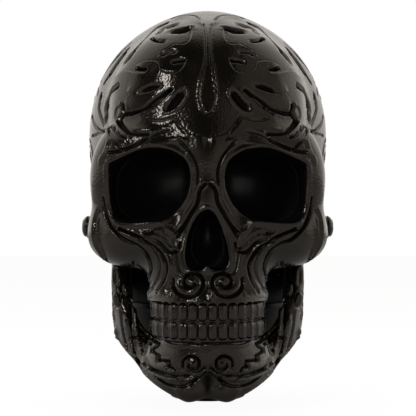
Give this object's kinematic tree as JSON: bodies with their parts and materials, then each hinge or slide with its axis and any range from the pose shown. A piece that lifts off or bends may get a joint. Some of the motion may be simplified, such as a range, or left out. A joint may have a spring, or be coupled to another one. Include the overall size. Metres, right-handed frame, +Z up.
{
  "type": "ornamental skull",
  "caption": "Gloss-black ornamental skull with raised scrollwork, deep eye sockets, a jaw that swings open on side pins, and a weighted neck stand.",
  "frame": {"origin": "on the shelf under the middle of the part's bounding box", "axes": "+Z up, the face looks along -Y, the skull's own left is +X"},
  "size_m": [0.132, 0.1676, 0.2062],
  "materials": {
    "shell_black": "high-gloss black lacquer over cast resin, slightly orange-peeled, with raised scrollwork",
    "tooth_black": "high-gloss black lacquer",
    "knob_black": "high-gloss black lacquer",
    "socket_black": "satin black",
    "stand_black": "satin black, moulded",
    "steel": "turned steel, lightly oiled",
    "iron": "rough casting",
    "rubber": "matte black rubber sheet",
    "nylon": "natural nylon"
  },
  "bodies": {
    "skull": {"face_shell": "shell_black", "rear_shell": "shell_black", "upper_teeth": "tooth_black", "nose_cup": "socket_black", "left_socket_cup": "socket_black", "right_socket_cup": "socket_black", "left_jaw_pin": "steel", "right_jaw_pin": "steel", "left_inner_washer": "nylon", "left_outer_washer": "nylon", "right_inner_washer": "nylon", "right_outer_washer": "nylon", "left_pivot_knob": "knob_black", "right_pivot_knob": "knob_black", "stand": "stand_black", "base_plate": "stand_black", "ballast_weight": "iron", "base_pad": "rubber", "stand_screw_left_front": "steel", "stand_screw_left_rear": "steel", "stand_screw_right_front": "steel", "stand_screw_right_rear": "steel", "plate_screw_front": "steel", "plate_screw_rear": "steel"},
    "jaw": {"lower_jaw": "shell_black", "lower_teeth": "tooth_black"}
  },
  "joints": [
    {"name": "jaw_swing", "type": "hinge", "parent": "skull", "child": "jaw", "pos_m": [0, -0.00531, 0.091], "axis": [1, 0, 0], "range_deg": [0, 5]}
  ]
}
